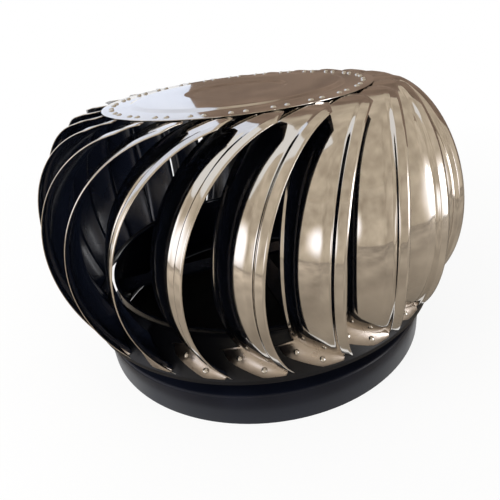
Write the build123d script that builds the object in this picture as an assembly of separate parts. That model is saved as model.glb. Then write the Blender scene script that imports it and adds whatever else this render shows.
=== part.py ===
from build123d import *
import os
from math import asin, atan2, cos, degrees, radians, sin, sqrt

# Roof turbine ventilator: a 24-vane rotor that turns freely on a fixed upright shaft.
# The base skirt slips over a round roof duct. Axis +Z, origin at the skirt's lower rim, millimetres.

# ---- driving dimensions -------------------------------------------------------------------
# base skirt and throat
skirt_radius = 250.0
skirt_height = 46.0
skirt_sheet = 1.5
skirt_edge_radius = 4.0
shelf_width = 31.5
throat_sheet = 1.2
throat_height = 118.0
throat_foot_width = 17.0
throat_bead_radius = 2.2
seat_clearance = 0.3

# cross bars that carry the shaft
bar_width = 30.0
bar_thickness = 4.0
bar_drop = 22.0
bar_tab_drop = 30.0
bar_tab_clearance = 0.1
bar_azimuth = 15.0
bar_bolt_radius = 3.0
bar_bolt_drop = 12.0
bar_bolt_head_radius = 5.4
bar_bolt_head_height = 3.0
bar_nut_height = 4.8
bolt_clearance = 0.3
bolt_hex_width = 10.0
bolt_end_length = 3.2

# fixed shaft
shaft_thread_radius = 8.0
shaft_collar_radius = 14.0
shaft_collar_height = 5.0
shaft_body_radius = 11.5
shaft_end_drop = 24.0
journal_radius = 8.5
journal_top_thread = 15.0
nut_width = 24.0
nut_height = 11.0
washer_radius = 15.0
washer_thickness = 2.5
washer_clearance = 0.2

# ball bearings
bearing_outer_radius = 20.0
bearing_width = 12.0
bearing_split_radius = 13.0
bearing_running_gap = 0.08
bearing_stand = 130.0
bearing_spacing = 82.0
bearing_seat_step = 0.5
sleeve_wall = 3.0

# rotor hub
hub_wall = 6.0
hub_shoulder = 3.0
hub_flange_radius = 60.0
hub_flange_thickness = 4.0
hub_bolt_circle = 45.0
hub_bolt_radius = 3.0
hub_bolt_count = 6
hub_bolt_head_height = 4.0
hub_nut_height = 5.0
hub_lip = 2.0

# cap and top plate
cap_radius = 178.0
cap_dish_depth = 28.4
cap_sheet = 0.8
cap_land = 36.0
cap_step_height = 2.6
cap_step_run = 7.0
cap_centre_radius = 62.0
plate_sheet = 1.2
plate_foot_margin = 4.0
plate_rim_width = 34.0
plate_gap = 2.5

# rotor ring
ring_clearance = 6.1
ring_overlap = 36.0
ring_slant_run = 34.0
ring_sheet = 1.2
ring_lip = 5.0

# vanes
vane_count = 24
vane_sheet = 0.8
vane_width = 65.0
vane_flange = 10.0
vane_flange_fall = 1.5
vane_turn = 34.0
vane_head_azimuth = 13.7
vane_head_overhang = 18.5
vane_head_fall = 2.0
vane_foot_inset = 4.2
vane_chamfer_angle = 8.0
vane_chamfer_length = 15.7
vane_notch_angle = 6.0
vane_tab_sheet = 0.8
ring_tab_angle = 5.7
cap_tab_angle = 12.0
cap_tab_length = 20.4
cap_tab_inside = 11.0
cap_tab_room_angle = 0.3

# rivets
rivet_head_radius = 3.5
rivet_head_height = 1.6
rivet_head_taper = 45.0
rivet_head_sides = 8
rivet_shank_radius = 1.6
rivet_shank_sides = 6
rivet_tail = 1.2
cap_rivet_edge = 12.5
cap_rivet_turn = 2.6
lower_rivet_slant = 10.5
lower_rivet_turn = 5.9
upper_rivet_slant = 25.0
upper_rivet_turn = 12.1
base_rivet_count = 12

# ---- sizes and levels that follow -----------------------------------------------------------
throat_radius = skirt_radius - shelf_width
bar_level = throat_height - bar_drop
bar_bolt_level = bar_level - bar_bolt_drop
lower_bearing_level = bar_level + bearing_stand
upper_bearing_level = lower_bearing_level + bearing_spacing
upper_bearing_top = upper_bearing_level + bearing_width
hub_top = upper_bearing_top + hub_lip
cap_level = hub_top + cap_dish_depth
cap_step_radius = cap_radius - cap_land
cap_rivet_circle = cap_radius - cap_rivet_edge
cap_tab_inner = cap_rivet_circle - cap_tab_inside
plate_rim_outer = cap_tab_inner - plate_gap
plate_rim_inner = plate_rim_outer - plate_rim_width
ring_top_radius = throat_radius + throat_bead_radius + ring_clearance + ring_sheet
ring_radius = ring_top_radius + ring_slant_run
ring_level = throat_height - ring_overlap
ring_sum = ring_radius + ring_level
vane_pitch = 360.0 / vane_count


# ---- helpers --------------------------------------------------------------------------------
def ring_of_revolution(points):
    """A body of revolution about Z from its half section, given as (radius, height) points."""
    section = make_face(Polyline(*[(r, 0, z) for r, z in points], close=True))
    return revolve(section, Axis.Z, 360)


def tube(outer, inner, bottom, top):
    """A plain tube about Z."""
    return ring_of_revolution([(inner, bottom), (outer, bottom), (outer, top), (inner, top)])


def disc(radius, bottom, top):
    """A plain round disc or pin about Z."""
    return Pos(0, 0, bottom) * Cylinder(radius, top - bottom, align=(Align.CENTER, Align.CENTER, Align.MIN))


def around(shape, count, start=0.0):
    """Copies of a shape at equal steps about Z."""
    return [Rot(0, 0, start + i * 360.0 / count) * shape for i in range(count)]


def front_point(azimuth, radius, height):
    """A point at an azimuth measured from the front (-Y) towards +X."""
    return Vector(radius * sin(radians(azimuth)), -radius * cos(radians(azimuth)), height)


def hexagon(width, height):
    """A hexagonal prism that stands on the XY plane."""
    return extrude(RegularPolygon(width / 2, 6, major_radius=False), height)


def rivet(grip):
    """A dome rivet along Z: its head stands on z = 0 and its shank and tail hang below."""
    head = extrude(RegularPolygon(rivet_head_radius, rivet_head_sides), rivet_head_height,
                   taper=rivet_head_taper)
    shank = extrude(RegularPolygon(rivet_shank_radius, rivet_shank_sides), -(grip + rivet_tail))
    return head + shank


def save(name, *shapes):
    """Write one node; several shapes are kept as separate solids."""
    solids = []
    for shape in shapes:
        solids.extend(shape.solids())
    body = solids[0] if len(solids) == 1 else Compound(children=solids)
    export_step(body, f"parts/{name}.step")


os.makedirs("parts", exist_ok=True)


# ---- base: skirt, throat collar and their rivets --------------------------------------------
shelf_under = skirt_height - skirt_sheet
skirt_wall = Polyline(
    (skirt_radius, 0, 0),
    (skirt_radius, 0, skirt_height - skirt_edge_radius),
    (skirt_radius - skirt_edge_radius, 0, skirt_height),
    (throat_radius + seat_clearance, 0, skirt_height),
    (throat_radius + seat_clearance, 0, shelf_under),
    (skirt_radius - skirt_edge_radius, 0, shelf_under),
    (skirt_radius - skirt_sheet, 0, skirt_height - skirt_edge_radius),
    (skirt_radius - skirt_sheet, 0, 0),
    close=True,
)
base_skirt = revolve(make_face(skirt_wall), Axis.Z, 360)

foot_under = shelf_under - throat_sheet
throat_inner = throat_radius - throat_sheet
throat_collar = ring_of_revolution([
    (throat_inner, foot_under),
    (throat_radius + throat_foot_width, foot_under),
    (throat_radius + throat_foot_width, shelf_under),
    (throat_radius, shelf_under),
    (throat_radius, throat_height),
    (throat_radius + throat_bead_radius, throat_height),
    (throat_radius + throat_bead_radius, throat_height + throat_bead_radius),
    (throat_inner, throat_height + throat_bead_radius),
])

base_rivet_circle = throat_radius + throat_foot_width / 2
base_rivet = Pos(base_rivet_circle, 0, skirt_height) * rivet(skirt_sheet + throat_sheet)
base_rivets = around(base_rivet, base_rivet_count, 360.0 / base_rivet_count / 2)


# ---- two flat bars across the throat, crossed at the axis -----------------------------------
# The tabs touch the round wall along their vertical edges.
tab_face = sqrt(throat_inner ** 2 - (bar_width / 2) ** 2) - bar_tab_clearance


def cross_bar(level):
    """A flat bar across the throat whose ends turn down and bolt to the wall."""
    half_section = Polyline(
        (0, 0, level),
        (tab_face, 0, level),
        (tab_face, 0, level - bar_tab_drop),
        (tab_face - bar_thickness, 0, level - bar_tab_drop),
        (tab_face - bar_thickness, 0, level - bar_thickness),
        (0, 0, level - bar_thickness),
        close=True,
    )
    half = extrude(make_face(half_section), bar_width / 2, both=True)
    bar = half + Rot(0, 0, 180) * half
    bar -= disc(shaft_thread_radius + bolt_clearance, level - bar_thickness, level)
    hole = Pos(0, 0, bar_bolt_level) * Rot(0, 90, 0) * Cylinder(
        bar_bolt_radius + bolt_clearance, 2 * throat_radius)
    return bar - hole


def radial_bolt():
    """A bolt and its nut through the throat wall and a bar's tab, along +X."""
    nut_seat = tab_face - bar_thickness - bar_nut_height
    bolt_end = nut_seat - bolt_end_length
    shank = Cylinder(bar_bolt_radius, throat_radius - bolt_end,
                     align=(Align.CENTER, Align.CENTER, Align.MIN))
    head = Pos(0, 0, throat_radius - bolt_end) * Cylinder(
        bar_bolt_head_radius, bar_bolt_head_height, align=(Align.CENTER, Align.CENTER, Align.MIN))
    bolt = Pos(bolt_end, 0, bar_bolt_level) * Rot(0, 90, 0) * (shank + head)
    nut_blank = hexagon(bolt_hex_width, bar_nut_height)
    nut_bore = Cylinder(bar_bolt_radius, bar_nut_height * 3)
    nut = Pos(nut_seat, 0, bar_bolt_level) * Rot(0, 90, 0) * (nut_blank - nut_bore)
    return bolt, nut


bar_turn = bar_azimuth - 90.0
upper_bar_level = bar_level + 2 * bar_thickness
lower_bar_level = bar_level + bar_thickness
lower_cross_bar = Rot(0, 0, bar_turn) * cross_bar(lower_bar_level)
upper_cross_bar = Rot(0, 0, bar_turn + 90.0) * cross_bar(upper_bar_level)
bar_bolt, bar_nut = radial_bolt()
bar_bolts = around(bar_bolt, 4, bar_turn)
bar_nuts = around(bar_nut, 4, bar_turn)
bolt_hole = Pos(throat_radius, 0, bar_bolt_level) * Rot(0, 90, 0) * Cylinder(
    bar_bolt_radius + bolt_clearance, 4 * throat_sheet)
for hole in around(bolt_hole, 4, bar_turn):
    throat_collar -= hole


# ---- fixed shaft, its nuts and washers ------------------------------------------------------
collar_top = upper_bar_level + shaft_collar_height
journal_top = upper_bearing_top + washer_thickness + journal_top_thread
shaft = ring_of_revolution([
    (0, bar_level - shaft_end_drop),
    (shaft_thread_radius, bar_level - shaft_end_drop),
    (shaft_thread_radius, upper_bar_level),
    (shaft_collar_radius, upper_bar_level),
    (shaft_collar_radius, collar_top),
    (shaft_body_radius, collar_top),
    (shaft_body_radius, lower_bearing_level),
    (journal_radius, lower_bearing_level),
    (journal_radius, journal_top),
    (0, journal_top),
])
shaft_washer_low = tube(washer_radius, shaft_thread_radius + washer_clearance,
                       bar_level - washer_thickness, bar_level)
shaft_nut_low = Pos(0, 0, bar_level - washer_thickness - nut_height) * hexagon(nut_width, nut_height)
shaft_nut_low -= disc(shaft_thread_radius, 0, bar_level)
shaft_washer_top = tube(bearing_split_radius - bearing_seat_step, journal_radius + washer_clearance,
                        upper_bearing_top, upper_bearing_top + washer_thickness)
shaft_nut_top = Pos(0, 0, upper_bearing_top + washer_thickness) * hexagon(nut_width, nut_height)
shaft_nut_top -= disc(journal_radius, upper_bearing_top, journal_top)


# ---- bearings: inner rings stand on the shaft, outer rings turn with the hub ----------------
def inner_ring(level):
    """Inner ring of a sealed ball bearing."""
    return tube(bearing_split_radius, journal_radius, level, level + bearing_width)


def outer_ring(level):
    """Outer ring of a sealed ball bearing with its two seals."""
    return tube(bearing_outer_radius, bearing_split_radius + bearing_running_gap,
                level, level + bearing_width)


bearing_sleeve = tube(journal_radius + sleeve_wall, journal_radius,
                      lower_bearing_level + bearing_width, upper_bearing_level)


# ---- rotor hub and its bolts ----------------------------------------------------------------
hub_radius = bearing_outer_radius + hub_wall
hub_bore = bearing_outer_radius - hub_shoulder
hub = ring_of_revolution([
    (bearing_outer_radius, lower_bearing_level),
    (hub_radius, lower_bearing_level),
    (hub_radius, hub_top - hub_flange_thickness),
    (hub_flange_radius, hub_top - hub_flange_thickness),
    (hub_flange_radius, hub_top),
    (bearing_outer_radius, hub_top),
    (bearing_outer_radius, upper_bearing_level),
    (hub_bore, upper_bearing_level),
    (hub_bore, lower_bearing_level + bearing_width),
    (bearing_outer_radius, lower_bearing_level + bearing_width),
])

# The top plate is a dish: bolted down on the hub flange, welded to the cap at its rim.
plate_foot = hub_top + plate_sheet
plate_foot_radius = hub_flange_radius + plate_foot_margin
top_plate = ring_of_revolution([
    (hub_radius, hub_top),
    (plate_foot_radius, hub_top),
    (plate_rim_inner, cap_level - plate_sheet),
    (plate_rim_outer, cap_level - plate_sheet),
    (plate_rim_outer, cap_level),
    (plate_rim_inner, cap_level),
    (plate_foot_radius, plate_foot),
    (hub_radius, plate_foot),
])
for hole in around(Pos(hub_bolt_circle, 0, 0) * disc(
        hub_bolt_radius + bolt_clearance, hub_top - 2 * hub_flange_thickness, plate_foot + plate_sheet),
        hub_bolt_count):
    hub -= hole
    top_plate -= hole

hub_nut_seat = hub_top - hub_flange_thickness - hub_nut_height
hub_bolt_head = Pos(hub_bolt_circle, 0, plate_foot) * hexagon(bolt_hex_width, hub_bolt_head_height)
hub_bolt_shank = Pos(hub_bolt_circle, 0, 0) * disc(
    hub_bolt_radius, hub_nut_seat - bolt_end_length, plate_foot)
hub_bolts = around(hub_bolt_head + hub_bolt_shank, hub_bolt_count)
hub_nut = Pos(hub_bolt_circle, 0, hub_nut_seat) * hexagon(bolt_hex_width, hub_nut_height)
hub_nut -= Pos(hub_bolt_circle, 0, 0) * disc(hub_bolt_radius, 0, hub_top)
hub_nuts = around(hub_nut, hub_bolt_count)


# ---- cap ------------------------------------------------------------------------------------
cap_top = cap_level + cap_sheet
crown_under = cap_level + cap_step_height
crown_top = crown_under + cap_sheet
cap = ring_of_revolution([
    (0, cap_level),
    (cap_centre_radius, cap_level),
    (cap_centre_radius + cap_step_run, crown_under),
    (cap_step_radius - cap_step_run, crown_under),
    (cap_step_radius, cap_level),
    (cap_radius, cap_level),
    (cap_radius, cap_top),
    (cap_step_radius, cap_top),
    (cap_step_radius - cap_step_run, crown_top),
    (cap_centre_radius + cap_step_run, crown_top),
    (cap_centre_radius, cap_top),
    (0, cap_top),
])


# ---- rotor ring: a cone whose face looks outwards and up ------------------------------------
ring_top_level = ring_level + ring_slant_run
ring_normal = ring_sheet * sqrt(2)
rotor_ring = ring_of_revolution([
    (ring_radius, ring_level),
    (ring_top_radius, ring_top_level),
    (ring_top_radius, ring_top_level + ring_lip),
    (ring_top_radius - ring_sheet, ring_top_level + ring_lip),
    (ring_top_radius - ring_sheet, ring_top_level - ring_normal + ring_sheet),
    (ring_radius - ring_sheet, ring_level - ring_normal + ring_sheet),
    (ring_radius - ring_sheet, ring_level - ring_lip),
    (ring_radius, ring_level - ring_lip),
])


# ---- vanes ----------------------------------------------------------------------------------
# Each vane is a strip bent round a level axis. The fold between its panel and its flange is an
# arc in an upright plane, from a head at the cap's level to a foot on the ring's face. At its head
# the strip has only just begun to fall away from level; the bend radius follows from the two ends.
axis_out = Vector(sin(radians(vane_turn)), -cos(radians(vane_turn)), 0)
sweep_out = Vector(-cos(radians(vane_turn)), -sin(radians(vane_turn)), 0)
fold_head = front_point(vane_head_azimuth, cap_radius + vane_head_overhang, cap_level)
foot_radius = ring_radius - vane_foot_inset
foot_level = ring_sum - foot_radius
head_reach = fold_head.dot(sweep_out)
head_side = fold_head.dot(axis_out)
foot_run = sqrt(foot_radius ** 2 - head_side ** 2) - head_reach
foot_drop = cap_level - foot_level
vane_head_angle = 90.0 - vane_head_fall
head_cos = cos(radians(vane_head_angle))
head_sin = sin(radians(vane_head_angle))
vane_bend_radius = (foot_run ** 2 + foot_drop ** 2) / (2 * (foot_drop * head_sin - foot_run * head_cos))
centre_run = -vane_bend_radius * head_cos
vane_bend_level = cap_level - vane_bend_radius * head_sin
vane_foot_angle = degrees(asin((foot_level - vane_bend_level) / vane_bend_radius))
fold_foot = fold_head + sweep_out * foot_run
foot_azimuth = degrees(atan2(fold_foot.X, -fold_foot.Y))

# The strip's section lies in the plane of the bend axis: x runs along the axis out to the
# flange's edge, y is the distance from the axis.
bend_centre = fold_head + sweep_out * centre_run + axis_out * vane_flange
axis_point = Vector(bend_centre.X, bend_centre.Y, vane_bend_level)
section_plane = Plane(origin=axis_point, x_dir=axis_out, z_dir=(0, 0, -1))


def vane_point(along, angle):
    """A point of the strip's outer face: its place along the bend axis, and its bend angle."""
    radius = vane_bend_radius
    flat = section_plane.from_local_coords(Vector(along, radius * cos(radians(angle)), 0))
    return Vector(flat.X, flat.Y, vane_bend_level + radius * sin(radians(angle)))


def ring_angle(along):
    """The bend angle at which the strip meets the ring's face."""
    low, high = -80.0, 0.0
    for _ in range(40):
        middle = (low + high) / 2
        point = vane_point(along, middle)
        if sqrt(point.X ** 2 + point.Y ** 2) + point.Z > ring_sum:
            high = middle
        else:
            low = middle
    return high


def vane_strip():
    """The bent strip: a panel with a flange turned along its outer edge."""
    inner, outer = vane_bend_radius - vane_sheet, vane_bend_radius
    section = Polyline(
        (-vane_width, outer), (-vane_flange, outer), (0, outer - vane_flange_fall),
        (0, inner - vane_flange_fall), (-vane_flange, inner), (-vane_width, inner),
        close=True,
    )
    profile = section_plane * make_face(section)
    turning = Axis(axis_point, -axis_out)
    start = profile.rotate(turning, vane_foot_angle)
    return revolve(start, turning, vane_head_angle - vane_foot_angle)


def ring_tab():
    """The tab folded flat on the ring along the strip's lower edge."""
    inner_fold = vane_point(-vane_width, ring_angle(-vane_width))
    outer_fold = vane_point(-vane_flange, ring_angle(-vane_flange))
    far = outer_fold + (outer_fold - inner_fold).normalized() * ring_slant_run
    shell = ring_of_revolution([
        (ring_radius, ring_level),
        (ring_top_radius, ring_top_level),
        (ring_top_radius + vane_tab_sheet, ring_top_level + vane_tab_sheet),
        (ring_radius + vane_tab_sheet, ring_level + vane_tab_sheet),
    ])
    edge = Polyline(
        (inner_fold.X, inner_fold.Y), (far.X, far.Y),
        tuple(far.rotate(Axis.Z, -ring_tab_angle))[:2],
        tuple(inner_fold.rotate(Axis.Z, -ring_tab_angle))[:2],
        close=True,
    )
    column = extrude(make_face(edge), ring_top_level * 2)
    return shell & column


def chamfer_cutter():
    """Takes the corner off the strip's upper end, from the flange in towards the cap's rim."""
    flange_end = vane_bend_radius * cos(radians(vane_head_angle - vane_chamfer_angle))
    panel_end = vane_bend_radius * cos(radians(vane_head_angle))
    outline = Polyline(
        (seat_clearance, flange_end), (-vane_chamfer_length, panel_end),
        (-vane_chamfer_length, -vane_bend_radius),
        (vane_bend_radius, -vane_bend_radius), (vane_bend_radius, flange_end), close=True,
    )
    return extrude(section_plane * make_face(outline), vane_bend_radius * 2, both=True)


def notch_cutter():
    """Cuts the flange's lower end to a free point, with a notch beside the panel."""
    point_level = -vane_bend_radius * sin(radians(vane_foot_angle))
    notch_level = -vane_bend_radius * sin(radians(vane_foot_angle + vane_notch_angle))
    side_plane = Plane(origin=axis_point, x_dir=axis_out, z_dir=section_plane.y_dir)
    outline = Polyline(
        (-vane_flange, -notch_level), (seat_clearance, -point_level),
        (seat_clearance, -vane_bend_radius),
        (-vane_flange, -vane_bend_radius), close=True,
    )
    return extrude(side_plane * make_face(outline), vane_bend_radius * 2)


def front_sector(angle):
    """A wedge about Z, centred on the front, that reaches past the cap's rim."""
    side = cap_radius * 2
    half = radians(angle / 2)
    corners = Polyline(
        (0, 0), (-side * sin(half), -side * cos(half)), (side * sin(half), -side * cos(half)),
        close=True,
    )
    return extrude(make_face(corners), cap_level * 2)


def cap_tab():
    """The flat tab under the cap's rim that takes two rivets."""
    flat = tube(cap_tab_inner + cap_tab_length, cap_tab_inner, cap_level - vane_tab_sheet, cap_level)
    return flat & front_sector(cap_tab_angle)


def next_tab_room():
    """The room under the cap's rim that the strip's head leaves for the next vane's tab."""
    under_cap = disc(cap_radius + seat_clearance, 0, cap_level)
    return under_cap & Rot(0, 0, vane_pitch) * front_sector(cap_tab_angle + 2 * cap_tab_room_angle)


def build_vane():
    """One vane at the front, with both tabs."""
    under_ring = ring_of_revolution([
        (0, -ring_sum), (ring_sum * 2, -ring_sum), (0, ring_sum),
    ])
    above_cap = Pos(0, 0, cap_level) * Cylinder(
        skirt_radius * 2, skirt_radius, align=(Align.CENTER, Align.CENTER, Align.MIN))
    over_plate = disc(cap_tab_inner, 0, cap_level)
    strip = vane_strip() - under_ring - above_cap - over_plate - next_tab_room()
    strip = strip - chamfer_cutter() - notch_cutter()
    return strip + ring_tab() + cap_tab()


vane = build_vane()


# ---- rivets that hold the vanes, two at each end ---------------------------------------------
cap_rivet = Pos(0, -cap_rivet_circle, cap_top) * rivet(cap_sheet + vane_tab_sheet)
cap_rivets = []
for turn in (-cap_rivet_turn, cap_rivet_turn):
    cap_rivets += around(Rot(0, 0, turn) * cap_rivet, vane_count)


def ring_rivet(slant, azimuth):
    """A rivet square to the ring's face, at a distance up the slant from its lower edge."""
    run = slant / sqrt(2)
    place = front_point(azimuth, ring_radius + vane_tab_sheet - run, ring_level + vane_tab_sheet + run)
    lean = Rot(0, 0, azimuth) * Rot(45, 0, 0)
    return Pos(place.X, place.Y, place.Z) * lean * rivet(vane_tab_sheet + ring_sheet)


ring_rivets = around(ring_rivet(lower_rivet_slant, foot_azimuth - lower_rivet_turn), vane_count)
ring_rivets += around(ring_rivet(upper_rivet_slant, foot_azimuth - upper_rivet_turn), vane_count)


# ---- write the nodes ------------------------------------------------------------------------
nodes = {
    "base_skirt": [base_skirt],
    "throat_collar": [throat_collar],
    "base_rivets": base_rivets,
    "lower_cross_bar": [lower_cross_bar],
    "upper_cross_bar": [upper_cross_bar],
    "bar_bolts": bar_bolts,
    "bar_nuts": bar_nuts,
    "shaft": [shaft],
    "shaft_lower_washer": [shaft_washer_low],
    "shaft_lower_nut": [shaft_nut_low],
    "shaft_upper_washer": [shaft_washer_top],
    "shaft_upper_nut": [shaft_nut_top],
    "bearing_sleeve": [bearing_sleeve],
    "lower_bearing_inner_ring": [inner_ring(lower_bearing_level)],
    "lower_bearing_outer_ring": [outer_ring(lower_bearing_level)],
    "upper_bearing_inner_ring": [inner_ring(upper_bearing_level)],
    "upper_bearing_outer_ring": [outer_ring(upper_bearing_level)],
    "hub": [hub],
    "top_plate": [top_plate],
    "hub_bolts": hub_bolts,
    "hub_nuts": hub_nuts,
    "cap": [cap],
    "cap_rivets": cap_rivets,
    "rotor_ring": [rotor_ring],
    "ring_rivets": ring_rivets,
}
for number in range(vane_count):
    nodes[f"vane_{number + 1:02d}"] = [Rot(0, 0, number * vane_pitch) * vane]
for name, shapes in nodes.items():
    save(name, *shapes)
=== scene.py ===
from math import acos, atan2, cos, hypot, radians, sin, sqrt, tau

import bmesh
import bpy
from mathutils import Matrix, Vector
from numpy import interp


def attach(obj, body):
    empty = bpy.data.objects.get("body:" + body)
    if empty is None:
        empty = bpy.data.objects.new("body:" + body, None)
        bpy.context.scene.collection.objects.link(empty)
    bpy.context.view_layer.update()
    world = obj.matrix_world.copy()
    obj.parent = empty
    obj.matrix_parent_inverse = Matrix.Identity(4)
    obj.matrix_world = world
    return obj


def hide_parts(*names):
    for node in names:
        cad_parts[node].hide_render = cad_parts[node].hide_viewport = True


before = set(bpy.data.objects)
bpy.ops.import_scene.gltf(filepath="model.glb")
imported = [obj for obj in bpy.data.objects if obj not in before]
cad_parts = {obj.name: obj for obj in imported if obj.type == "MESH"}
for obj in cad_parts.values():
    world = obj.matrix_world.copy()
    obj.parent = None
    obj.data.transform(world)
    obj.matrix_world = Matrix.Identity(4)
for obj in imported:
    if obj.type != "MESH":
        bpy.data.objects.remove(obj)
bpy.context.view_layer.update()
scene = bpy.context.scene

# ---- base skirt -------------------------------------------------------------------------------
# The skirt slips over the round roof duct and carries the whole turbine. It is pressed from mild
# steel sheet, with one soft bend between its wall and its shelf, and powder coated satin black.

skirt_radius = 0.250
skirt_height = 0.046
skirt_sheet = 0.0015
skirt_bend = 0.004
shelf_inner_radius = 0.2188
round_steps = 144
sharpest_soft_bend = radians(38)


def linear(hex_colour):
    """An sRGB hex colour as the linear RGBA that a shader takes."""
    channels = [int(hex_colour[place:place + 2], 16) / 255 for place in (1, 3, 5)]
    return [c / 12.92 if c <= 0.04045 else ((c + 0.055) / 1.055) ** 2.4 for c in channels] + [1.0]


def add_node(tree, kind, inputs, **settings):
    """A node in a tree, with its settings and its input values or links."""
    node = tree.nodes.new(kind)
    for name, value in settings.items():
        setattr(node, name, value)
    for name, value in inputs.items():
        if isinstance(value, bpy.types.NodeSocket):
            tree.links.new(value, node.inputs[name])
        else:
            node.inputs[name].default_value = value
    return node


def speckled(name, dark, light, patch, grain, relief, roughness, metallic=0.0, specular=0.5):
    """A finish with soft patches between two shades, uneven gloss and a fine relief.

    patch is the width of the patches, grain the width of the relief's grain and relief its
    height, all in millimetres. roughness is its lowest and its highest value."""
    material = bpy.data.materials.new(name)
    material.use_nodes = True
    tree = material.node_tree
    shader = tree.nodes["Principled BSDF"]
    shader.inputs["Metallic"].default_value = metallic
    shader.inputs["Specular IOR Level"].default_value = specular
    place = add_node(tree, "ShaderNodeTexCoord", {}).outputs["Object"]
    patches = add_node(tree, "ShaderNodeTexNoise", {"Vector": place, "Scale": 1000 / patch, "Detail": 3.0})
    shade = add_node(tree, "ShaderNodeMix", {0: patches.outputs["Fac"], 6: linear(dark), 7: linear(light)},
                     data_type="RGBA")
    gloss = add_node(tree, "ShaderNodeMapRange", {
        "Value": patches.outputs["Fac"], "From Min": 0.3, "From Max": 0.7,
        "To Min": roughness[0], "To Max": roughness[1]})
    grains = add_node(tree, "ShaderNodeTexNoise", {"Vector": place, "Scale": 1000 / grain, "Detail": 2.0})
    raised = add_node(tree, "ShaderNodeBump", {
        "Strength": 1.0, "Distance": relief / 1000, "Height": grains.outputs["Fac"]})
    tree.links.new(shade.outputs[2], shader.inputs["Base Color"])
    tree.links.new(gloss.outputs["Result"], shader.inputs["Roughness"])
    tree.links.new(raised.outputs["Normal"], shader.inputs["Normal"])
    return material


# Satin, with the orange peel of a baked powder, about 2 mm wide.
black_powder_coat = speckled("satin_black_powder_coat", "#090B13", "#151926", patch=60, grain=2,
                             relief=0.03, roughness=(0.30, 0.42), specular=0.22)


def spin_section(section):
    """A round piece: its half section of (radius, height) points, spun about the shaft's axis."""
    wall = bmesh.new()
    corners = [wall.verts.new((radius, 0, height)) for radius, height in section]
    for corner, following in zip(corners, corners[1:]):
        wall.edges.new((corner, following))
    if section[0][0] > 0:
        wall.edges.new((corners[-1], corners[0]))
    bmesh.ops.spin(wall, geom=wall.verts[:] + wall.edges[:], cent=(0, 0, 0), axis=(0, 0, 1),
                   angle=tau, steps=round_steps, use_merge=True)
    bmesh.ops.remove_doubles(wall, verts=wall.verts, dist=1e-6)
    bmesh.ops.recalc_face_normals(wall, faces=wall.faces)
    return wall


def in_steady_order(shape):
    """Lists edges and faces by their corners, as a spin lists them differently on each run."""
    shape.verts.index_update()
    for parts in (shape.edges, shape.faces):
        listed = sorted(parts, key=lambda part: sorted(vertex.index for vertex in part.verts))
        for number, part in enumerate(listed):
            part.index = number
        parts.sort()


def fit_piece(shape, name, body, slot, replaced, *materials):
    """Makes a finished bmesh a piece of the turbine, which stands for a node and rides on a body."""
    in_steady_order(shape)
    mesh = bpy.data.meshes.new(name)
    shape.to_mesh(mesh)
    mesh.shade_smooth()
    mesh.set_sharp_from_angle(angle=sharpest_soft_bend)
    for material in materials:
        mesh.materials.append(material)
    piece = bpy.data.objects.new(name, mesh)
    scene.collection.objects.link(piece)
    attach(piece, body)
    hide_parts(replaced)
    return piece


def skirt_arc(radius):
    """The skirt's bend at one face of the sheet: a quarter turn from its wall to its shelf."""
    quarter = [radians(step * 18) for step in range(6)]
    return [(skirt_radius - skirt_bend + radius * cos(a), skirt_height - skirt_bend + radius * sin(a))
            for a in quarter]


skirt_section = [
    (skirt_radius, 0.0), *skirt_arc(skirt_bend), (shelf_inner_radius, skirt_height),
    (shelf_inner_radius, skirt_height - skirt_sheet), *reversed(skirt_arc(skirt_bend - skirt_sheet)),
    (skirt_radius - skirt_sheet, 0.0),
]
fit_piece(spin_section(skirt_section), "skirt_shell", "base", "black_paint", "base_skirt",
          black_powder_coat)

# ---- throat collar and cross bars ---------------------------------------------------------------
# The collar is a rolled steel tube with a foot riveted under the shelf, and the two flat bars
# across it carry the shaft. All are dipped in gloss black stove enamel and baked.


def finish_nodes(material, *names):
    """Gives the pieces that come as solids their finish."""
    for name in names:
        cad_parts[name].data.materials.clear()
        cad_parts[name].data.materials.append(material)


# Glossy, with the slow waves of a dipped enamel, about 12 mm long.
black_stove_enamel = speckled("gloss_black_stove_enamel", "#07090F", "#10131D", patch=40, grain=12,
                              relief=0.04, roughness=(0.16, 0.28), specular=0.3)
finish_nodes(black_stove_enamel, "throat_collar", "lower_cross_bar", "upper_cross_bar")

# ---- bolts, nuts and washers --------------------------------------------------------------------
# The bars, the shaft and the hub are held by hexagon bolts and nuts, cold headed from steel wire
# and electroplated with bright zinc.

# Bluish grey, with a faint crystalline mottle drawn 1 mm wide, coarser than the real one, to show.
bright_zinc = speckled("bright_zinc_plate", "#9CA1A6", "#BFC3C6", patch=6, grain=1,
                       relief=0.02, roughness=(0.28, 0.42), metallic=1.0)
finish_nodes(bright_zinc, "bar_bolts", "bar_nuts", "shaft_lower_washer", "shaft_lower_nut",
             "shaft_upper_washer", "shaft_upper_nut", "hub_bolts", "hub_nuts")

# ---- shaft and bearings -------------------------------------------------------------------------
# The shaft is turned from bright steel bar and stands still. Two sealed ball bearings run on it,
# with ground and hardened rings, and a plain sleeve keeps them apart.

# Silvery and soft, its tool marks drawn 0.8 mm wide, coarser than the real ones, to show.
turned_steel = speckled("turned_bright_steel", "#77797C", "#94969A", patch=10, grain=0.8,
                        relief=0.01, roughness=(0.24, 0.36), metallic=1.0)
finish_nodes(turned_steel, "shaft", "bearing_sleeve")

# Bright and even, nearly without marks.
ground_steel = speckled("ground_bearing_steel", "#A9ABAE", "#BCBEC0", patch=12, grain=0.8,
                        relief=0.005, roughness=(0.14, 0.22), metallic=1.0)
finish_nodes(ground_steel, "lower_bearing_inner_ring", "lower_bearing_outer_ring",
             "upper_bearing_inner_ring", "upper_bearing_outer_ring")

# ---- hub and top plate --------------------------------------------------------------------------
# The hub is an aluminium casting in black primer, and the dished plate above it is pressed from
# galvanised steel. The plate carries the cap, so the rotor hangs from the two bearings.

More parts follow.
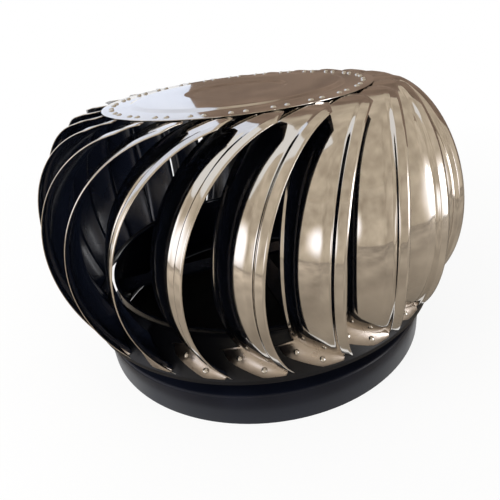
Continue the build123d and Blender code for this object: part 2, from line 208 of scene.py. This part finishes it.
# Dull, with the grain of a sand casting, 2.5 mm wide, under the primer.
primed_casting = speckled("black_primed_casting", "#141518", "#222327", patch=15, grain=2.5,
                          relief=0.2, roughness=(0.45, 0.62))
finish_nodes(primed_casting, "hub")

# Pale grey, with the zinc's spangle about 14 mm wide.
galvanised_sheet = speckled("galvanised_sheet", "#85898D", "#A9ADB0", patch=14, grain=3,
                            relief=0.02, roughness=(0.34, 0.50), metallic=1.0)
finish_nodes(galvanised_sheet, "top_plate")

# ---- rotor ring ---------------------------------------------------------------------------------
# A cone of rolled steel sheet with a narrow lip at each edge turns round the throat and carries the
# feet of the vanes. It is painted charcoal, a little greyer and duller than the skirt.

ring_radius = 0.2620
ring_neck_radius = 0.2280
ring_bottom = 0.0770
ring_top = 0.1210
ring_sheet = 0.0012
ring_inner_radius = ring_radius - ring_sheet
ring_neck_inner_radius = ring_neck_radius - ring_sheet

# The cone slopes by 45 degrees, so the radius and the height of each of its faces have one sum.
cone_outer_sum = 0.3440
cone_inner_sum = 0.3423

# Half section, up the outer face and down the inner one, with the soft bends of the two lips.
ring_section = [
    (ring_radius, ring_bottom), (ring_radius, 0.0808), (0.2617, 0.0818), (0.2610, cone_outer_sum - 0.2610),
    (0.2290, cone_outer_sum - 0.2290), (0.2283, 0.1160), (ring_neck_radius, 0.1172),
    (ring_neck_radius, ring_top), (ring_neck_inner_radius, ring_top), (ring_neck_inner_radius, 0.1168),
    (0.2272, 0.1154), (0.2280, cone_inner_sum - 0.2280), (0.2600, cone_inner_sum - 0.2600),
    (0.2606, 0.0814), (ring_inner_radius, 0.0804), (ring_inner_radius, ring_bottom),
]

# Satin, with the same fine orange peel as the skirt's coat.
charcoal_paint = speckled("charcoal_chassis_paint", "#07080C", "#12141A", patch=50, grain=2,
                          relief=0.03, roughness=(0.30, 0.44), specular=0.25)
fit_piece(spin_section(ring_section), "ring_cone", "rotor", "ring_paint", "rotor_ring", charcoal_paint)

# ---- cap ----------------------------------------------------------------------------------------
# The cap is a round of bright annealed stainless sheet. A broad crown pressed into it stiffens it
# round a flat centre, and rivets near its rim hold the heads of the vanes.

cap_radius = 0.1780
cap_under = 0.3504
cap_sheet = 0.0008
cap_top = cap_under + cap_sheet
crown_rise = 0.0026
rim_softness = 0.0002

# Radius, and rise over the flat centre, from the centre up and down the crown's flanks to the rim.
cap_face = [
    (0.0, 0.0), (0.0585, 0.0), (0.0600, 0.0001), (0.0625, 0.0006), (0.0665, 0.0018), (0.0695, 0.0025),
    (0.0710, crown_rise), (0.1335, crown_rise), (0.1350, 0.0025), (0.1375, 0.0019), (0.1415, 0.0006),
    (0.1440, 0.0001), (0.1455, 0.0), (0.1772, 0.0),
]
cap_section = [(radius, cap_top + rise) for radius, rise in cap_face]
cap_section += [(cap_radius, cap_top - rim_softness), (cap_radius, cap_under + rim_softness / 2),
                (0.1777, cap_under)]
cap_section += [(radius, cap_under + rise) for radius, rise in reversed(cap_face)]

# Nearly a mirror, with the slight roll of thin sheet, about 50 mm long.
mirror_stainless = speckled("bright_annealed_stainless", "#CBC5BE", "#D9D4CD", patch=45, grain=50,
                            relief=0.12, roughness=(0.055, 0.12), metallic=1.0)
fit_piece(spin_section(cap_section), "cap_sheet", "rotor", "cap_stainless", "cap", mirror_stainless)

# ---- vanes --------------------------------------------------------------------------------------
# Each vane is a strip of the same stainless, bent round a level axis into a deep arc. Rolling
# gives it a crowned panel between a narrow inner edge and an outer flange that falls away, and
# its inner side is black. Its foot is folded flat on the ring and its head runs in under the cap.

vane_count = 24
vane_sheet = 0.0008
vane_rows = 40
bend_radius = 0.1583
bend_level = 0.1922
bend_distance = 0.2041
bend_azimuth = radians(16.13)
bend_turn = radians(34)
bend_centre = Vector((bend_distance * sin(bend_azimuth), -bend_distance * cos(bend_azimuth), bend_level))
bend_axis = Vector((sin(bend_turn), -cos(bend_turn), 0))
bend_front = Vector((-cos(bend_turn), -sin(bend_turn), 0))

# Angles round the bend, from level at its front: the strip's ends and the cuts of its flange.
tip_angle = radians(-42)
notch_angle = radians(-36)
cap_angle = radians(88)
chamfer_reach = bend_radius * cos(radians(80))
chamfer_length = 0.0196
flange_width = 0.010
flange_fall = 0.0015
flange_fold = 0.0001 - flange_width
crown_fade = (radians(50), radians(78))

# The vane's foot lies on the ring. Its head stays clear of the top plate and of the next vane's tab.
ring_face = cone_outer_sum + vane_sheet * sqrt(2)
plate_clear_radius = 0.1545
next_tab_radius = 0.1783
next_tab_azimuth = radians(8.7)
trim_step = radians(0.25)

# Place along the bend axis, and rise above the plain strip's face, of the rolled section's points.
vane_section = [
    (-0.0650, -0.0005), (-0.0630, -0.0013), (-0.0612, -0.0021), (-0.0600, -0.0024), (-0.0588, -0.0019),
    (-0.0560, -0.0006), (-0.0510, 0.0008), (-0.0450, 0.0015), (-0.0380, 0.0017), (-0.0310, 0.0015),
    (-0.0250, 0.0010), (-0.0200, 0.0001), (-0.0165, -0.0014), (-0.0150, -0.0018), (-0.0137, -0.0015),
    (-0.0118, -0.0002), (-0.0106, 0.0007), (-0.0100, 0.0009), (-0.0098, 0.0009), (-0.0088, 0.0007),
    (-0.0060, 0.0001), (-0.0030, -0.0007), (0.0, -0.0015),
]


def on_vane(along, reach, angle):
    """A point of a vane, from its place along the bend axis, its distance from it and its angle."""
    return bend_centre + along * bend_axis + reach * (cos(angle) * bend_front + Vector((0, 0, sin(angle))))


def foot_angle(along, reach):
    """The angle at which the sheet comes down on the ring, or at which the flange is cut."""
    if along > flange_fold:
        return notch_angle + (tip_angle - notch_angle) * (along + flange_width) / flange_width
    low, high = radians(-80), 0.0
    for _ in range(30):
        middle = (low + high) / 2
        point = on_vane(along, reach, middle)
        if hypot(point.x, point.y) + point.z > ring_face:
            high = middle
        else:
            low = middle
    return high


def over_neighbour(point):
    """Whether a point near the cap would lie over the top plate or the next vane's tab."""
    radius = hypot(point.x, point.y)
    azimuth = atan2(point.x, -point.y)
    return radius < plate_clear_radius or (radius < next_tab_radius and azimuth > next_tab_azimuth)


def head_angle(along, reach):
    """The angle at which the sheet ends, under the cap or at the slanting cut of the flange."""
    cut = chamfer_reach * max(0.0, 1 + along / chamfer_length)
    angle = min(cap_angle, acos(cut / reach))
    while over_neighbour(on_vane(along, reach, angle)):
        angle -= trim_step
    return angle


def plain_reach(along):
    """The distance of the plain strip from the bend axis, without its rolled crown."""
    return bend_radius - flange_fall * max(0.0, along + flange_width) / flange_width


# Deep gloss and black, with slow waves about 50 mm long. Its blue tint is a painted sheen.
black_back_with_painted_sheen = speckled("gloss_black_back_painted_sheen", "#0E121C", "#1C2232", patch=60, grain=50,
                           relief=0.08, roughness=(0.14, 0.26))

# The folded foot is scuffed by the press and by the rivet set, so it mirrors less.
dulled_stainless = speckled("dulled_stainless_foot", "#B8AEA6", "#D2CAC2", patch=12, grain=2,
                            relief=0.02, roughness=(0.26, 0.38), metallic=1.0)

vane = bmesh.new()
corners = [vane.verts.new(on_vane(along, bend_radius + rise, tip_angle)) for along, rise in vane_section]
for corner, following in zip(corners, corners[1:]):
    vane.edges.new((corner, following))
sweep = radians(90) - tip_angle
bmesh.ops.spin(vane, geom=vane.verts[:] + vane.edges[:], cent=bend_centre, axis=-bend_axis,
               angle=sweep, steps=vane_rows)

# Each line of the strip is closed up between its own foot and head, and the crown fades at the cap.
foot = []
for vertex in vane.verts:
    offset = vertex.co - bend_centre
    along = offset.dot(bend_axis)
    across = offset.dot(bend_front)
    reach = hypot(across, offset.z)
    share = (atan2(offset.z, across) - tip_angle) / sweep
    first = foot_angle(along, reach)
    last = head_angle(along, plain_reach(along))
    angle = first + share * (last - first)
    fade = float(interp(angle, crown_fade, (1.0, 0.0)))
    vertex.co = on_vane(along, plain_reach(along) + (reach - plain_reach(along)) * fade, angle)
    if share < 0.001 and along < flange_fold:
        foot.append(vertex)

# The foot's tab, from the inner end of its fold to the outer one: how far its free edge turns on
# round the shaft from the fold, in degrees, and the radius at which it lies.
tab_shares = (0.0, 0.45, 0.8, 1.0)
tab_turns = (-5.2, -7.4, -4.0, -0.6)
tab_radii = (0.2380, 0.2476, 0.2608, 0.2610)
fold_radii = [hypot(vertex.co.x, vertex.co.y) for vertex in foot]
foot_edges = [edge for edge in vane.edges if all(vertex in foot for vertex in edge.verts)]
tab = bmesh.ops.extrude_edge_only(vane, edges=foot_edges)
inner_fold = min(fold_radii)
outer_fold = max(fold_radii)
for vertex in [part for part in tab["geom"] if isinstance(part, bmesh.types.BMVert)]:
    radius = hypot(vertex.co.x, vertex.co.y)
    share = (radius - inner_fold) / (outer_fold - inner_fold)
    turn = radians(float(interp(share, tab_shares, tab_turns)))
    azimuth = atan2(vertex.co.y, vertex.co.x) + turn
    radius = float(interp(share, tab_shares, tab_radii))
    vertex.co = Vector((radius * cos(azimuth), radius * sin(azimuth), ring_face - radius))
for face in [part for part in tab["geom"] if isinstance(part, bmesh.types.BMFace)]:
    face.material_index = 2

# The bright side looks outwards: the face nearest the panel's middle tells which way it is.
bmesh.ops.recalc_face_normals(vane, faces=vane.faces)
panel_middle = on_vane(-0.038, 0.164, 0)
middle_face = min(vane.faces, key=lambda face: (face.calc_center_median() - panel_middle).length)
if middle_face.normal.dot(bend_front) < 0:
    bmesh.ops.reverse_faces(vane, faces=vane.faces)

# The head's tab lies flat under the cap's rim and takes two rivets.
head_tab_outer_radius = 0.1749
head_tab_reach = radians(6)
head_tab = [vane.verts.new((radius * sin(-head_tab_reach), -radius * cos(head_tab_reach), cap_under))
            for radius in (plate_clear_radius, head_tab_outer_radius)]
tab_edge = vane.edges.new(head_tab)
bmesh.ops.spin(vane, geom=head_tab + [tab_edge], cent=(0, 0, 0), axis=(0, 0, 1),
               angle=2 * head_tab_reach, steps=6)
for face in vane.faces:
    middle = face.calc_center_median()
    flat = all(abs(vertex.co.z - cap_under) < 1e-6 for vertex in face.verts)
    if flat and hypot(middle.x, middle.y) < head_tab_outer_radius and face.normal.z < 0:
        face.normal_flip()

for number in range(vane_count):
    copy = vane.copy()
    bmesh.ops.rotate(copy, verts=copy.verts, cent=(0, 0, 0),
                     matrix=Matrix.Rotation(number * tau / vane_count, 3, "Z"))
    piece = fit_piece(copy, f"vane_blade_{number + 1:02d}", "rotor", "vane_stainless",
                      f"vane_{number + 1:02d}", mirror_stainless, black_back_with_painted_sheen, dulled_stainless)
    wall = piece.modifiers.new("sheet", "SOLIDIFY")
    wall.thickness = vane_sheet
    wall.offset = -1
    wall.material_offset = 1
    wall.material_offset_rim = 0

# ---- rivets -------------------------------------------------------------------------------------
# Solid aluminium dome rivets, set cold, hold each vane by two at the cap and two at the ring, and
# twelve more fix the collar to the shelf.

head_radius = 0.0035
head_height = 0.0018
shank_radius = 0.0016
cap_rivet_place = (0, -0.1655, cap_top)
shelf_rivet_place = (0, -0.2270, skirt_height)
shelf_rivet_count = 12

# Bright where the tool has pressed the heads, with fine marks 1 mm wide.
rivet_metal = speckled("bright_rivet_metal", "#C4C2BE", "#DDDBD7", patch=4, grain=1,
                       relief=0.02, roughness=(0.14, 0.26), metallic=1.0)


def rivet_circle(place, lean, turn, count, grip):
    """Dome rivets at equal steps round the shaft; the first stands at place and leans outwards."""
    rivets = bmesh.new()
    section = [(0.0, head_height), (0.0013, 0.0017), (0.0024, 0.0013), (0.0031, 0.0007),
               (head_radius, 0.0), (shank_radius, 0.0), (shank_radius, -grip), (0.0, -grip)]
    corners = [rivets.verts.new((radius, 0, height)) for radius, height in section]
    for corner, following in zip(corners, corners[1:]):
        rivets.edges.new((corner, following))
    bmesh.ops.spin(rivets, geom=rivets.verts[:] + rivets.edges[:], cent=(0, 0, 0), axis=(0, 0, 1),
                   angle=tau, steps=16, use_merge=True)
    bmesh.ops.remove_doubles(rivets, verts=rivets.verts, dist=1e-6)
    bmesh.ops.recalc_face_normals(rivets, faces=rivets.faces)
    seat = Matrix.Rotation(turn, 4, "Z") @ Matrix.Translation(place) @ Matrix.Rotation(lean, 4, "X")
    bmesh.ops.transform(rivets, matrix=seat, verts=rivets.verts)
    bmesh.ops.spin(rivets, geom=rivets.verts[:] + rivets.edges[:] + rivets.faces[:], cent=(0, 0, 0),
                   axis=(0, 0, 1), angle=tau * (count - 1) / count, steps=count - 1, use_duplicate=True)
    return rivets


def ring_seat(slant):
    """The place of a rivet on a vane's foot, at a distance up the ring's slant from its lower edge."""
    rise = slant / sqrt(2) - vane_sheet
    return (0, -(ring_radius - rise), cone_outer_sum - ring_radius + rise + 2 * vane_sheet)


# Name, body, node, place, lean and turn in degrees, count, and the length of the shank.
rivet_groups = (
    ("cap_rivet_heads_left", "rotor", "cap_rivets", cap_rivet_place, 0.0, -2.6, vane_count, 0.0028),
    ("cap_rivet_heads_right", "rotor", "cap_rivets", cap_rivet_place, 0.0, 2.6, vane_count, 0.0028),
    ("ring_rivet_heads_low", "rotor", "ring_rivets", ring_seat(0.0105), 45.0, -16.3, vane_count, 0.0032),
    ("ring_rivet_heads_high", "rotor", "ring_rivets", ring_seat(0.0250), 45.0, -22.5, vane_count, 0.0032),
    ("shelf_rivet_heads", "base", "base_rivets", shelf_rivet_place, 0.0, 15.0, shelf_rivet_count, 0.0039),
)
for name, body, replaced, place, lean, turn, count, grip in rivet_groups:
    rivets = rivet_circle(place, radians(lean), radians(turn), count, grip)
    fit_piece(rivets, name, body, "rivet_steel", replaced, rivet_metal)

# ---- floor and duct -----------------------------------------------------------------------------
# The turbine stands on a sheet of matt white vinyl, which shows as white round its shadow. A black disc
# under the throat is painted shade for the dark duct below.

duct_radius = 0.247


def stage_piece(shape, name, material):
    """Makes a finished bmesh a piece of the stage."""
    in_steady_order(shape)
    mesh = bpy.data.meshes.new(name)
    shape.to_mesh(mesh)
    mesh.materials.append(material)
    piece = bpy.data.objects.new(name, mesh)
    scene.collection.objects.link(piece)
    return piece


def seen_directly(tree):
    """One where the camera, a mirror or clear glass looks, and nought where only light falls."""
    path = add_node(tree, "ShaderNodeLightPath", {})
    seen = add_node(tree, "ShaderNodeMath", {
        0: path.outputs["Is Camera Ray"], 1: path.outputs["Is Glossy Ray"]}, operation="MAXIMUM")
    seen = add_node(tree, "ShaderNodeMath", {
        0: seen.outputs[0], 1: path.outputs["Is Transmission Ray"]}, operation="MAXIMUM")
    return seen.outputs[0]


# Matt and even. Its own glow, weaker close to the skirt, keeps it white and leaves the shadow.
white_vinyl = bpy.data.materials.new("matt_white_vinyl")
white_vinyl.use_nodes = True
tree = white_vinyl.node_tree
vinyl_shader = tree.nodes["Principled BSDF"]
vinyl_shader.inputs["Base Color"].default_value = linear("#F4F3F1")
vinyl_shader.inputs["Roughness"].default_value = 0.9
place = add_node(tree, "ShaderNodeTexCoord", {}).outputs["Object"]
distance = add_node(tree, "ShaderNodeVectorMath", {0: place}, operation="LENGTH")
brightness = add_node(tree, "ShaderNodeMapRange", {
    "Value": distance.outputs["Value"], "From Min": 0.40, "From Max": 1.40, "To Min": 0.88, "To Max": 1.0})
share = add_node(tree, "ShaderNodeMath", {
    0: seen_directly(tree), 1: brightness.outputs["Result"]}, operation="MULTIPLY")
glow = add_node(tree, "ShaderNodeEmission", {"Color": linear("#FFFFFF"), "Strength": 1.0})
mixed = add_node(tree, "ShaderNodeMixShader", {
    0: share.outputs[0], 1: vinyl_shader.outputs["BSDF"], 2: glow.outputs["Emission"]})
tree.links.new(mixed.outputs["Shader"], tree.nodes["Material Output"].inputs["Surface"])

floor = bmesh.new()
bmesh.ops.create_grid(floor, x_segments=1, y_segments=1, size=8.0)
stage_piece(floor, "studio_floor", white_vinyl)

# Painted shade: dull black all over, so that nothing shows through the throat.
dull_black = speckled("duct_painted_shade", "#050506", "#0A0A0C", patch=80, grain=10,
                      relief=0.1, roughness=(0.7, 0.9))
duct = bmesh.new()
bmesh.ops.create_circle(duct, cap_ends=True, segments=round_steps, radius=duct_radius)
bmesh.ops.translate(duct, verts=duct.verts, vec=(0, 0, 0.001))
stage_piece(duct, "studio_duct", dull_black)

# ---- mirrored screens ---------------------------------------------------------------------------
# Bright metal shows what stands round it, so screens stand in a circle for it alone to mirror:
# plaster in front, canvas behind on the right, pale cloth behind on the left, carpet and ceiling.

screen_radius = 2.6
screen_foot = 0.02
wall_height = 2.4
ceiling_height = 2.9


def screen(name, first, last, corners, material):
    """A curved screen: a line of (radius, height) points, spun from one azimuth to another."""
    shape = bmesh.new()
    line = [shape.verts.new((radius * sin(radians(first)), -radius * cos(radians(first)), height))
            for radius, height in corners]
    edges = [shape.edges.new(pair) for pair in zip(line, line[1:])]
    bmesh.ops.spin(shape, geom=line + edges, cent=(0, 0, 0), axis=(0, 0, 1),
                   angle=radians(last - first), steps=40)
    piece = stage_piece(shape, name, material)
    piece.visible_camera = False
    piece.visible_diffuse = False
    piece.visible_shadow = False


# Centres of the soft pools of painted light on the plaster, and the reach of their full and last light.
painted_light_pools = (
    ((-1.10, -2.36, 0.72), 0.20, 0.80),
    ((2.29, -1.23, 0.75), 0.45, 1.40),
    ((-2.38, -1.06, 0.70), 0.40, 1.05),
    ((-2.60, 0.15, 0.62), 0.45, 1.10),
)

# Warm and uneven. Its painted glow is weak and warm all over, and strong and as cool as daylight in the
# painted pools of light.
plaster_with_painted_glow = speckled("warm_grey_plaster_painted_glow", "#3A2A1E", "#FFF4E2", patch=700, grain=20,
                        relief=0.2, roughness=(0.8, 0.95))
tree = plaster_with_painted_glow.node_tree
plaster_shader = tree.nodes["Principled BSDF"]
place = add_node(tree, "ShaderNodeTexCoord", {}).outputs["Object"]
lit = add_node(tree, "ShaderNodeMath", {0: 0.0, 1: 0.0})
for centre, full_reach, last_reach in painted_light_pools:
    distance = add_node(tree, "ShaderNodeVectorMath", {0: place, 1: centre}, operation="DISTANCE")
    pool = add_node(tree, "ShaderNodeMapRange", {
        "Value": distance.outputs["Value"], "From Min": full_reach, "From Max": last_reach,
        "To Min": 1.0, "To Max": 0.0}, interpolation_type="SMOOTHSTEP")
    lit = add_node(tree, "ShaderNodeMath", {0: lit.outputs[0], 1: pool.outputs["Result"]},
                   operation="MAXIMUM")
# Painted light: the glow is warm and weak away from the pools, and cool white and strong in them.
glow = add_node(tree, "ShaderNodeMix", {
    0: lit.outputs[0], 6: linear("#C4B196"), 7: linear("#F2F5FF")}, data_type="RGBA")
strength = add_node(tree, "ShaderNodeMapRange", {"Value": lit.outputs[0], "To Min": 0.32, "To Max": 1.6})
tree.links.new(glow.outputs[2], plaster_shader.inputs["Emission Color"])
tree.links.new(strength.outputs["Result"], plaster_shader.inputs["Emission Strength"])
wall_line = ((screen_radius, screen_foot), (screen_radius, wall_height))
screen("studio_wall", -115, 105, wall_line, plaster_with_painted_glow)
screen("studio_ceiling", -75, 187, ((screen_radius, wall_height), (0.0, ceiling_height)), plaster_with_painted_glow)

# Soft and worn in patches of 300 mm.
brown_carpet = speckled("grey_brown_carpet", "#5C5044", "#E2D5C2", patch=300, grain=10,
                        relief=2, roughness=(0.85, 0.95))
screen("studio_carpet", -110, 187, ((0.264, 0.012), (screen_radius, screen_foot)), brown_carpet)

# Painted shade: darker patches about 500 mm apart stand for the shade in its folds.
brown_canvas = speckled("brown_canvas", "#33251D", "#C9AE9A", patch=500, grain=20,
                        relief=2, roughness=(0.85, 0.95))
screen("studio_curtain", 105, 187, wall_line, brown_canvas)

# Pale blue, with a painted glow of daylight.
cloth_with_painted_daylight = speckled("cloth_with_painted_daylight", "#BCC2CE", "#E4E8F0", patch=200, grain=10,
                        relief=0.2, roughness=(0.8, 0.95))
cloth_shader = cloth_with_painted_daylight.node_tree.nodes["Principled BSDF"]
cloth_shader.inputs["Emission Color"].default_value = linear("#CFD9F0")
cloth_shader.inputs["Emission Strength"].default_value = 0.55
screen("window_cloth_left", 187, 245, ((screen_radius, 0.5), (screen_radius, 2.8)), cloth_with_painted_daylight)

# ---- light --------------------------------------------------------------------------------------
# An even white surround lights the turbine and shows as full white behind it. A square lamp in
# front on the left, which no mirror shows, and a weak upright one on the right shape its sides.

world = bpy.data.worlds.new("studio_light")
scene.world = world
world.use_nodes = True
sky = world.node_tree
level = add_node(sky, "ShaderNodeMapRange", {"Value": seen_directly(sky), "To Min": 0.75, "To Max": 1.0})
sky.nodes["Background"].inputs["Color"].default_value = linear("#FFFFFF")
sky.links.new(level.outputs["Result"], sky.nodes["Background"].inputs["Strength"])

# Name, place, width, height, power in watts, and whether mirrors show the lamp.
lamp_aim = Vector((0, 0, 0.2))
for name, place, width, height, power, mirrored in (
        ("window_lamp", Vector((-1.5, -0.9, 1.0)), 1.0, 1.0, 22.0, False),
        ("fill_lamp", Vector((1.6, -0.8, 0.55)), 0.4, 0.9, 5.0, True)):
    lamp = bpy.data.lights.new(name, "AREA")
    lamp.energy = power
    lamp.shape = "RECTANGLE"
    lamp.size = width
    lamp.size_y = height
    lamp_piece = bpy.data.objects.new(name, lamp)
    lamp_piece.location = place
    lamp_piece.rotation_euler = (lamp_aim - place).to_track_quat("-Z", "Y").to_euler()
    lamp_piece.visible_glossy = mirrored
    scene.collection.objects.link(lamp_piece)

# ---- camera -------------------------------------------------------------------------------------
# It stands close in front of the turbine and looks down on the cap, tipped a little to one side.
# Its lens is a short one, so the near vanes look large and the cap's far rim small.

camera_place = (0, -0.6081, 0.4278)
pan, tilt, roll = -0.0141, -0.4854, -0.1245
forward = Vector((sin(pan) * cos(tilt), cos(pan) * cos(tilt), sin(tilt)))
right = Vector((cos(pan), -sin(pan), 0))
above = right.cross(forward)
side = cos(roll) * right + sin(roll) * above
top = -sin(roll) * right + cos(roll) * above
facing = Matrix((side, top, -forward)).transposed().to_4x4()
camera = bpy.data.objects.new("camera", bpy.data.cameras.new("camera"))
camera.data.lens = 30.67
camera.matrix_world = Matrix.Translation(camera_place) @ facing
scene.collection.objects.link(camera)
scene.camera = camera
scene.view_settings.view_transform = "Standard"
